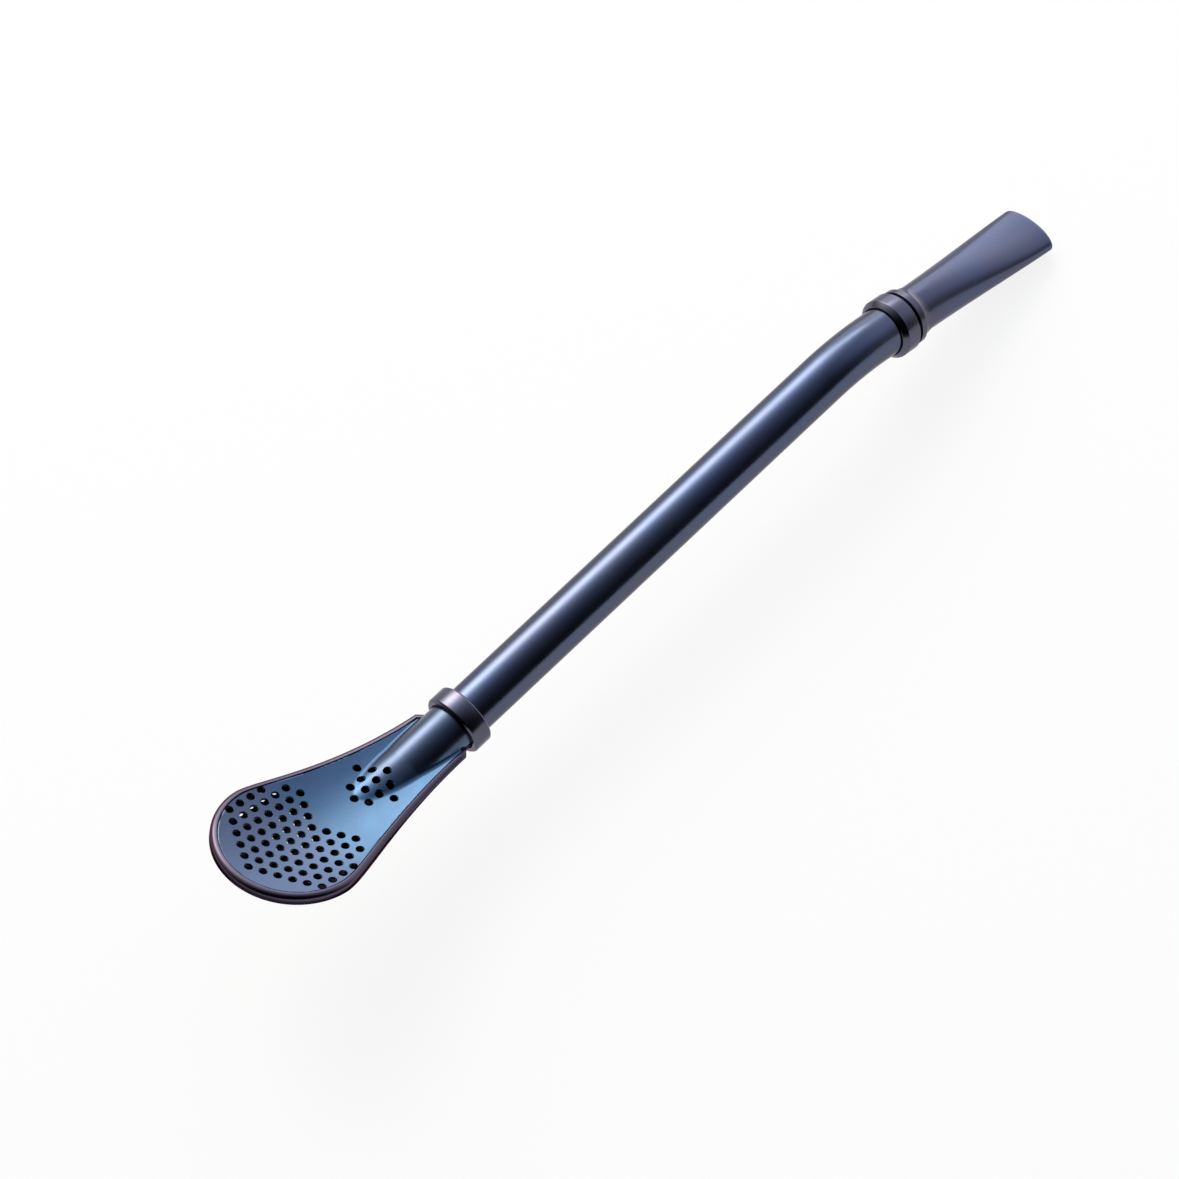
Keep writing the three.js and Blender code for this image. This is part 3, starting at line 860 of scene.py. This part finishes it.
def plate_rows(spoon):
    """All half rows of the plate, from the tip to the neck's end."""
    to_spoon = spoon_to_stem(spoon).inverted()
    start, end = spoon.neck_start, spoon.neck_round
    _, emerges = halved(start, end, lambda s: crease_angle(spoon, s, to_spoon) <= 0)
    apex = neck_point(spoon, emerges, 0, to_spoon)
    tip = spoon.head_x - spoon.to_tip + spoon.plate_inset
    open_tip = spoon.head_x - spoon.to_tip * (1 - dive_inset(spoon, tip) / spoon.half_width)
    edge, head, waist, neck = PLATE_ROWS
    quarter = math.pi / 2
    places = [mix(tip, open_tip, (k / edge) ** 2) for k in range(edge)]
    places += [mix(spoon.head_x, open_tip, math.cos(quarter * k / head)) for k in range(head)]
    places += places_between(spoon.head_x, apex.x, waist)[:-1]
    rows = [plate_row(spoon, x) for x in places]
    for k in range(neck + 1):
        s = mix(emerges, spoon.neck_end, (k / neck) ** 1.5)
        rows.append(neck_row(spoon, s, to_spoon))
    return rows


def plate_skin(spoon):
    """The upper face of the plate and its half neck: a grid laid over the rows."""
    rows = plate_rows(spoon)
    half = len(rows[0]) - 1
    bm = bmesh.new()
    bmesh.ops.create_grid(bm, x_segments=len(rows) - 1, y_segments=2 * half, size=1)
    for point in bm.verts:
        i = round((point.co.x + 1) / 2 * (len(rows) - 1))
        j = round((point.co.y + 1) / 2 * 2 * half) - half
        place = rows[i][abs(j)]
        point.co = (place.x, math.copysign(place.y, j) if j else 0, place.z)
    bmesh.ops.remove_doubles(bm, verts=bm.verts, dist=PLATE_MERGE)
    bmesh.ops.dissolve_degenerate(bm, edges=bm.edges, dist=SAME_PLACE)
    bmesh.ops.recalc_face_normals(bm, faces=bm.faces)
    if sum(face.normal.z for face in bm.faces) < 0:
        bmesh.ops.reverse_faces(bm, faces=bm.faces)
    return bm


def drills(spoon, holes, rows, shift, top, edge_height=None):
    """One round drill for each hole, with a broken edge where it leaves the sheet."""
    bm = bmesh.new()
    radius = holes.diameter / 2
    for x, y in hole_places(holes, rows, shift):
        made = bmesh.ops.create_cone(
            bm, segments=HOLE_STEPS, radius1=radius, radius2=radius, depth=1, cap_ends=True
        )["verts"]
        for point in made:
            point.co = (point.co.x + x, point.co.y + y, DEEP if point.co.z < 0 else top)
        if edge_height is not None:
            widen_drill(bm, made, Vector((x, y)), radius, holes.edge, edge_height(x, y))
    return bm


def widen_drill(bm, made, middle, radius, edge, brim):
    """Opens a drill like a funnel from just under the sheet's face."""

    def touching():
        faces = {face for point in made if point.is_valid for face in point.link_faces}
        return faces, {point for face in faces for point in face.verts}

    for level in (brim - edge, brim):
        faces, points = touching()
        lines = {line for face in faces for line in face.edges}
        bmesh.ops.bisect_plane(
            bm,
            geom=[*points, *lines, *faces],
            plane_co=(0, 0, level),
            plane_no=(0, 0, 1),
            dist=SAME_PLACE,
        )
    for point in touching()[1]:
        if point.co.z > brim - SAME_PLACE:
            away = Vector((point.co.x, point.co.y)) - middle
            away = away.normalized() * (radius + edge)
            point.co.x, point.co.y = middle.x + away.x, middle.y + away.y


def plate_height(spoon):
    """Height of the plate's or the neck's upper face."""
    to_spoon = spoon_to_stem(spoon).inverted()

    def height(x, y):
        best = dish(spoon, x, y)
        s = spoon.neck_start
        for _ in range(3):
            radius = neck_radius_at(spoon, s)
            up = math.sqrt(max(0, radius * radius - y * y))
            p = to_spoon @ Vector((s, y, up))
            s += (x - p.x) / math.cos(spoon.tilt)
        if s > spoon.neck_start:
            best = max(best, (to_spoon @ Vector((s, y, up))).z)
        return best

    return height


# Bottom shell

def shell_profile(spoon):
    """Steps round the shell's section: underside, wall, rolled hem, inner wall and inner floor."""
    sheet, rise, lip = spoon.sheet, spoon.hem_rise, spoon.hem_lip

    def hem(edge):
        return hem_width(spoon, edge.x)

    def wall_foot(x, y, edge):
        drop = eased(spoon, edge.x, spoon.drop_head, spoon.drop_neck)
        return dish(spoon, edge.x, edge.y) - drop

    def wall(part, floor):
        def height(x, y, edge):
            top = wall_foot(x, y, edge)
            shallower = 1 - eased(spoon, edge.x, 0, spoon.wall_lift)
            return top + (floor - top) * part * shallower

        return height

    def roll(angle):
        blend = math.sin(angle)

        def height(x, y, edge):
            plate = mix(dish(spoon, edge.x, edge.y), dish(spoon, x, y), blend)
            fall = eased(spoon, edge.x, spoon.fall_head, spoon.fall_neck)
            return plate - fall + (fall + rise) * blend

        return inward(height, inset=lambda edge: hem(edge) * (1 - math.cos(angle)))

    bottom, inner, inset = spoon.floor_z, spoon.floor_z + sheet, spoon.floor_inset
    bottom_edge, inner_edge = 1.15 * inset, 1.03 * inset
    lip_foot, lip_root = -1.2 * lip, -2.6 * lip
    return [
        inward(level(bottom), part=0),
        inward(level(bottom), part=0.5),
        inward(level(bottom), inset=bottom_edge),
        inward(level(bottom), inset=inset),
        *[inward(wall(part, bottom), inset=out * inset) for out, part in WALL_BOW],
        inward(wall_foot, inset=0),
        *[roll(math.pi / 2 * k / HEM_STEPS) for k in range(HEM_STEPS + 1)],
        inward(over_dish(spoon, rise * 0.4), inset=lambda edge: hem(edge) + rise / 2),
        inward(over_dish(spoon, -lip), inset=hem),
        inward(over_dish(spoon, lip_foot), inset=spoon.plate_inset),
        inward(over_dish(spoon, lip_root), inset=sheet),
        inward(wall_foot, inset=sheet),
        *[inward(wall(part, inner), inset=out * inset) for out, part in INNER_BOW],
        inward(level(inner), inset=inner_edge),
        inward(level(inner), part=0.5),
        inward(level(inner), part=0),
    ]


# Coatings

def material_base(name):
    """A new material, its tree and its ready-made shader."""
    material = bpy.data.materials.new(name)
    material.use_nodes = True
    tree = material.node_tree
    return material, tree, tree.nodes["Principled BSDF"]


def feed(tree, taker, inputs):
    """Links or sets the inputs of a shader step."""
    for key, value in inputs.items():
        if isinstance(value, bpy.types.NodeSocket):
            tree.links.new(value, taker.inputs[key])
        else:
            taker.inputs[key].default_value = value


def shading(tree, kind, inputs, output=0, **settings):
    """Adds a shader step with its settings and inputs, and gives back one of its outputs."""
    made = tree.nodes.new("ShaderNode" + kind)
    for name, value in settings.items():
        setattr(made, name, value)
    feed(tree, made, inputs)
    return made.outputs[output]


def reckon(tree, operation, *values):
    """A sum within a shader."""
    return shading(tree, "Math", dict(enumerate(values)), operation=operation)


def blend_tones(tree, factor, first, second):
    tones = [
        tone if isinstance(tone, bpy.types.NodeSocket) else (*tone, 1) for tone in (first, second)
    ]
    return shading(tree, "Mix", {0: factor, 6: tones[0], 7: tones[1]}, 2, data_type="RGBA")


def speckle(tree, where, scale, detail):
    return shading(tree, "TexNoise", {"Scale": scale, "Detail": detail, "Vector": where}, "Fac")


def spread(tree, value, low, high, to_low=0, to_high=1):
    """Moves a value softly from one span of numbers to another."""
    spans = {"From Min": low, "From Max": high, "To Min": to_low, "To Max": to_high}
    return shading(
        tree, "MapRange", {"Value": value, **spans}, "Result", interpolation_type="SMOOTHSTEP"
    )


def relief(tree, height, depth, strength, under=None):
    inputs = {"Strength": strength, "Distance": depth, "Height": height}
    if under is not None:
        inputs["Normal"] = under
    return shading(tree, "Bump", inputs, "Normal")


def in_frame(tree, place):
    """Object coordinates, read in a piece's own frame."""
    where = shading(tree, "TexCoord", {}, "Object")
    frame_of = {"Location": place.to_translation(), "Rotation": place.to_euler()}
    return shading(tree, "Mapping", {"Vector": where, **frame_of}, vector_type="TEXTURE")


def axes(tree, where):
    """The three coordinates of a place."""
    split = tree.nodes.new("ShaderNodeSeparateXYZ")
    feed(tree, split, {"Vector": where})
    return list(split.outputs)


def looks_up(tree, place):
    """How far a face looks up in a piece's own frame."""
    up = place.to_3x3() @ Vector((0, 0, 1))
    face = shading(tree, "NewGeometry", {}, "True Normal")
    return shading(tree, "VectorMath", {0: face, 1: up}, "Value", operation="DOT_PRODUCT")


def coated_steel(name, place, gloss, tones, lathe=False):
    """Steel under a thin coating, with clouds in its gloss, fine grain and perhaps lathe lines."""
    roughness, coat, edge = GLOSS[gloss]
    material, tree, skin = material_base(name)
    where = in_frame(tree, place)
    clouds = speckle(tree, where, *GLOSS_CLOUDS)
    dull, bright = roughness * (1 + GLOSS_SPREAD), roughness * (1 - GLOSS_SPREAD)
    grain = relief(tree, speckle(tree, where, *GRAIN), *GRAIN_RELIEF)
    if lathe:
        pattern = {"Scale": LINE_SCALE, "Detail": LINE_DETAIL, "W": axes(tree, where)[0]}
        lines = shading(tree, "TexNoise", pattern, "Fac", noise_dimensions="1D")
        grain = relief(tree, lines, *LINE_RELIEF, grain)
    inputs = {
        "Base Color": tones(tree, where),
        "Metallic": 1,
        "Roughness": spread(tree, clouds, *GLOSS_BAND, bright, dull),
        "Normal": grain,
        "Specular Tint": (*edge, 1),
        "Coat Weight": coat,
        "Coat Roughness": COAT_ROUGHNESS,
        "Coat IOR": COAT_IOR,
    }
    feed(tree, skin, inputs)
    return material


def clouded(first, second):
    """Two close tones in soft clouds."""

    def tones(tree, where):
        clouds = spread(tree, speckle(tree, where, *TONE_CLOUDS), *TONE_BAND)
        return blend_tones(tree, clouds, first, second)

    return tones


def turned_steel(name, place, finish):
    """The collars' coating: clouds, and fine lines left by the lathe."""
    tones = clouded(finish.collar, finish.collar_tint)
    return coated_steel(name, place, "collar", tones, lathe=True)


def height_over_plate(tree, spoon, place):
    """Height over the dished plate, from the same shape as its mesh."""
    x, y, z = place
    side = spoon.rise_side / spoon.half_width**2
    end = spoon.rise_neck / (spoon.shoulder_x - spoon.dish_x) ** 2
    level = reckon(tree, "MULTIPLY_ADD", reckon(tree, "MULTIPLY", y, y), -side, z)
    along = reckon(tree, "SUBTRACT", x, spoon.dish_x)
    return reckon(tree, "MULTIPLY_ADD", reckon(tree, "MULTIPLY", along, along), -end, level)


def plate_steel(place, spoon, finish):
    """The filter plate's coating with painted reflection: a darker slate far side and a lighter
    sky-blue near side, blends to other tones at the head and up the neck, and painted shade in the
    holes.
    """

    def tones(tree, where):
        x, y, z = axes(tree, where)
        clouds = speckle(tree, where, *PLATE_CLOUDS)
        # Painted reflection: the far side is painted darker and the near side lighter
        across = reckon(tree, "MULTIPLY_ADD", clouds, -WANDER, y)
        near = spread(tree, across, *PAINTED_LIGHT_SPAN)
        sheet = blend_tones(tree, near, finish.plate, finish.plate_painted_light)
        along = reckon(tree, "MULTIPLY_ADD", clouds, WANDER, x)
        head = spread(tree, along, *HEAD_SPAN, 0, HEAD_SHARE)
        sheet = blend_tones(tree, head, sheet, finish.plate_head)
        neck = spread(tree, height_over_plate(tree, spoon, (x, y, z)), *NECK_SPAN)
        sheet = blend_tones(tree, neck, sheet, finish.neck)
        # Painted shade: the holes' walls are painted near black
        upright = reckon(tree, "LESS_THAN", looks_up(tree, place), UPRIGHT)
        field = reckon(tree, "LESS_THAN", x, FIELD_END)
        hole_painted_shade = reckon(tree, "MULTIPLY", upright, field)
        return blend_tones(tree, hole_painted_shade, sheet, finish.inside)

    return coated_steel("coated_plate", place, "plate", tones)


def shell_steel(place, finish):
    """The shell's coating: plum on the hem, with painted shade making the wall under it nearly
    black and the inside near black.
    """

    def tones(tree, where):
        _, _, z = axes(tree, where)
        clouds = speckle(tree, where, *SHELL_CLOUDS)
        # Painted shade: the wall below the hem is painted nearly black
        hem = spread(tree, reckon(tree, "MULTIPLY_ADD", clouds, HEM_WANDER, z), *WALL_SHADE_SPAN)
        outside = blend_tones(tree, hem, finish.shell_painted_shade, finish.shell)
        # Painted shade: faces inside the spoon are painted near black
        up = reckon(tree, "GREATER_THAN", looks_up(tree, place), INSIDE_TURN)
        low = reckon(tree, "LESS_THAN", z, INSIDE_TOP)
        within = reckon(tree, "MULTIPLY", up, low)
        return blend_tones(tree, within, outside, finish.inside)

    return coated_steel("coated_shell", place, "shell", tones)


# Operators

class StrawOperator:
    bl_options = {"REGISTER", "UNDO"}


class STRAW_OT_stem(StrawOperator, bpy.types.Operator):
    """Makes the tube with its elbow and its narrow foot"""

    bl_idname = "straw.stem"
    bl_label = "Stem"

    def execute(self, context):
        scene = context.scene
        stem, spoon, finish = scene.straw_stem, scene.straw_spoon, scene.straw_finish
        neck = spoon.neck_diameter / 2
        body = stem_body(stem, scene.straw_collars, neck, spoon.sheet, spoon.neck_end)
        tones = clouded(finish.stem, finish.stem_tint)
        skin = coated_steel("coated_stem", stem_frame(), "stem", tones)
        hand_over(new_object("stem", body), stem_frame(), "stem_tube", skin)
        return {"FINISHED"}


class STRAW_OT_collars(StrawOperator, bpy.types.Operator):
    """Makes the two turned collars and the narrow ring"""

    bl_idname = "straw.collars"
    bl_label = "Collars"

    def execute(self, context):
        scene = context.scene
        stem, collars, mouth = scene.straw_stem, scene.straw_collars, scene.straw_mouth
        low, high = stem_frame(), mouth_frame(stem)
        low_skin = turned_steel("turned_low", low, scene.straw_finish)
        high_skin = turned_steel("turned_high", high, scene.straw_finish)
        lower = lower_collar_body(stem, collars, scene.straw_spoon.neck_diameter / 2)
        upper = upper_collar_body(stem, collars, mouth)
        ring = ring_body(stem, collars, mouth)
        for name, node, body, place, skin in (
            ("collar_lower", "lower_collar", lower, low, low_skin),
            ("collar_upper", "upper_collar", upper, high, high_skin),
            ("ring", "mouthpiece_ring", ring, high, high_skin),
        ):
            piece = new_object(name, body)
            hand_over(piece, place, node, skin, COLLAR_SHARP)
        return {"FINISHED"}


class STRAW_OT_mouthpiece(StrawOperator, bpy.types.Operator):
    """Makes the flattened mouthpiece with its plug"""

    bl_idname = "straw.mouthpiece"
    bl_label = "Mouthpiece"

    def execute(self, context):
        scene = context.scene
        finish, place = scene.straw_finish, mouth_frame(scene.straw_stem)
        body = mouthpiece_body(scene.straw_stem, scene.straw_collars, scene.straw_mouth)
        tones = clouded(finish.mouth, finish.mouth_tint)
        skin = coated_steel("coated_mouthpiece", place, "mouth", tones)
        hand_over(new_object("mouth", body), place, "mouthpiece", skin)
        return {"FINISHED"}


class STRAW_OT_plate(StrawOperator, bpy.types.Operator):
    """Makes the dished filter plate with its half neck and its holes"""

    bl_idname = "straw.plate"
    bl_label = "Filter plate"

    def execute(self, context):
        scene = context.scene
        spoon, holes, finish = scene.straw_spoon, scene.straw_holes, scene.straw_finish
        plate = new_object("plate", plate_skin(spoon))
        wall = plate.modifiers.new("sheet", "SOLIDIFY")
        wall.thickness = spoon.sheet
        wall.offset = -1
        settle(plate)
        field = drills(spoon, holes, FIELD_ROWS + NECK_ROWS, 0, HIGH, plate_height(spoon))
        worked(plate, field, "DIFFERENCE")
        place = stem_frame() @ spoon_to_stem(spoon)
        skin = plate_steel(place, spoon, finish)
        hand_over(plate, place, "filter_plate", skin)
        return {"FINISHED"}


class STRAW_OT_shell(StrawOperator, bpy.types.Operator):
    """Makes the bottom shell with its rolled hem, floor holes and the lower half of the neck"""

    bl_idname = "straw.shell"
    bl_label = "Bottom shell"

    def execute(self, context):
        scene = context.scene
        spoon, holes, finish = scene.straw_spoon, scene.straw_holes, scene.straw_finish
        gap, around = scene.straw_stem.slide_gap, scene.straw_stem.round_steps
        split = -spoon.sheet - gap
        start, end = spoon.lower_neck, spoon.neck_end
        stations = stations_round(spoon, FINE_STEPS)
        shell = new_object("shell", ring_of_rings(stations, shell_profile(spoon)))
        low_neck = neck_cone(spoon, 0, start, end, around)
        worked(shell, shared_body(low_neck, beyond_split(spoon, split, FAR_BELOW)), "UNION")
        worked(shell, neck_cone(spoon, spoon.sheet, start, FAR_ALONG, around), "DIFFERENCE")
        room = neck_cone(spoon, -gap, spoon.neck_start, FAR_ALONG, around)
        worked(shell, shared_body(room, beyond_split(spoon, split, FAR_ABOVE)), "DIFFERENCE")
        field = drills(spoon, holes, FLOOR_ROWS, holes.floor_shift, -spoon.sheet)
        worked(shell, field, "DIFFERENCE")
        drop_crumbs(shell)
        place = stem_frame() @ spoon_to_stem(spoon)
        hand_over(shell, place, "bottom_shell", shell_steel(place, finish))
        return {"FINISHED"}


class STRAW_OT_stage(StrawOperator, bpy.types.Operator):
    """Lays the pale floor, hangs the light tent and sets up the camera"""

    bl_idname = "straw.stage"
    bl_label = "Stage"

    def execute(self, context):
        lay_floor(context.scene)
        hang_tent(context.scene)
        set_camera(context.scene)
        context.scene.view_settings.view_transform = "Standard"
        return {"FINISHED"}


# Stage

def pale_floor(rgb):
    """White to the camera and in reflections, with the soft shadow of the straw on it."""
    material, tree, skin = material_base("pale_floor")
    feed(tree, skin, {"Base Color": (*rgb, 1), "Roughness": FLOOR_ROUGHNESS})
    ray = tree.nodes.new("ShaderNodeLightPath").outputs
    seen = reckon(tree, "MAXIMUM", ray["Is Camera Ray"], ray["Is Glossy Ray"])
    seen = reckon(tree, "MAXIMUM", seen, ray["Is Transmission Ray"])
    part = reckon(tree, "MULTIPLY", seen, FLOOR_LIGHT)
    white = shading(tree, "Emission", {})
    both = shading(tree, "MixShader", {0: part, 1: skin.outputs[0], 2: white})
    feed(tree, tree.nodes["Material Output"], {"Surface": both})
    return material


def lay_floor(scene):
    bm = bmesh.new()
    bmesh.ops.create_grid(bm, x_segments=4, y_segments=4, size=FLOOR_REACH)
    floor = new_object("floor", bm)
    floor.data.materials.append(pale_floor(scene.straw_finish.floor))


def hang_tent(scene):
    """A plain white world, and over the straw a tent that the camera doesn't see."""
    world = bpy.data.worlds.new("soft_room")
    scene.world = world
    world.use_nodes = True
    tree = world.node_tree
    feed(tree, tree.nodes["Background"], {"Color": (1, 1, 1, 1), "Strength": 1})
    bm = bmesh.new()
    bmesh.ops.create_uvsphere(bm, u_segments=64, v_segments=32, radius=TENT_RADIUS)
    whole = bm.verts[:] + bm.edges[:] + bm.faces[:]
    bmesh.ops.bisect_plane(
        bm, geom=whole, plane_co=(0, 0, TENT_BOTTOM), plane_no=(0, 0, 1), clear_inner=True
    )
    tent = new_object("tent", bm)
    tent.data.materials.append(tent_cloth())
    tent.visible_camera = False


def tent_cloth():
    """Cloth of the light tent, lit from outside: each glow fades softly round its middle."""
    material, tree, skin = material_base("tent_cloth")
    tree.nodes.remove(skin)
    where = shading(tree, "TexCoord", {}, "Object")
    way = shading(tree, "VectorMath", {0: where}, operation="NORMALIZE")
    total = (0, 0, 0)
    for azimuth, height, narrowness, strength, tone in GLOWS:
        around, up = math.radians(azimuth), math.radians(height)
        flat = math.cos(up)
        middle = (flat * math.cos(around), flat * math.sin(around), math.sin(up))
        near = shading(tree, "VectorMath", {0: way, 1: middle}, "Value", operation="DOT_PRODUCT")
        fade = reckon(tree, "MULTIPLY_ADD", near, narrowness, -narrowness)
        glow = reckon(tree, "EXPONENT", fade)
        tint = [strength * part for part in tone]
        total = shading(
            tree, "VectorMath", {0: glow, 1: tint, 2: total}, operation="MULTIPLY_ADD"
        )
    light = shading(tree, "Emission", {"Color": total})
    feed(tree, tree.nodes["Material Output"], {"Surface": light})
    return material


def set_camera(scene):
    camera = bpy.data.cameras.new("camera")
    camera.sensor_width = 36
    camera.lens = LENS
    camera.clip_end = LENS_REACH
    holder = bpy.data.objects.new("camera", camera)
    scene.collection.objects.link(holder)
    place = Matrix(CAMERA_AXES).transposed().to_4x4()
    place.translation = CAMERA_PLACE
    holder.matrix_world = place
    scene.camera = holder


class STRAW_PT_panel(bpy.types.Panel):
    bl_idname = "STRAW_PT_panel"
    bl_label = "Filter straw"
    bl_space_type = "VIEW_3D"
    bl_region_type = "UI"
    bl_category = "Straw"

    def draw(self, context):
        column = self.layout.column()
        for operator in OPERATORS:
            column.operator(operator.bl_idname)
        for group in SIZE_GROUPS:
            box = self.layout.box()
            sizes = getattr(context.scene, group)
            for name in sizes.bl_rna.properties.keys():
                if name not in ("rna_type", "name"):
                    box.prop(sizes, name)


OPERATORS = [
    STRAW_OT_stem,
    STRAW_OT_collars,
    STRAW_OT_mouthpiece,
    STRAW_OT_plate,
    STRAW_OT_shell,
    STRAW_OT_stage,
]
CLASSES = [*SIZE_GROUPS.values(), *OPERATORS, STRAW_PT_panel]


def register():
    for listed in CLASSES:
        bpy.utils.register_class(listed)
    for name, group in SIZE_GROUPS.items():
        setattr(bpy.types.Scene, name, PointerProperty(type=group))


def unregister():
    for name in SIZE_GROUPS:
        delattr(bpy.types.Scene, name)
    for listed in reversed(CLASSES):
        bpy.utils.unregister_class(listed)


def main():
    register()
    bpy.ops.straw.stem()
    bpy.ops.straw.collars()
    bpy.ops.straw.mouthpiece()
    bpy.ops.straw.plate()
    bpy.ops.straw.shell()
    bpy.ops.straw.stage()


if __name__ == "__main__":
    main()
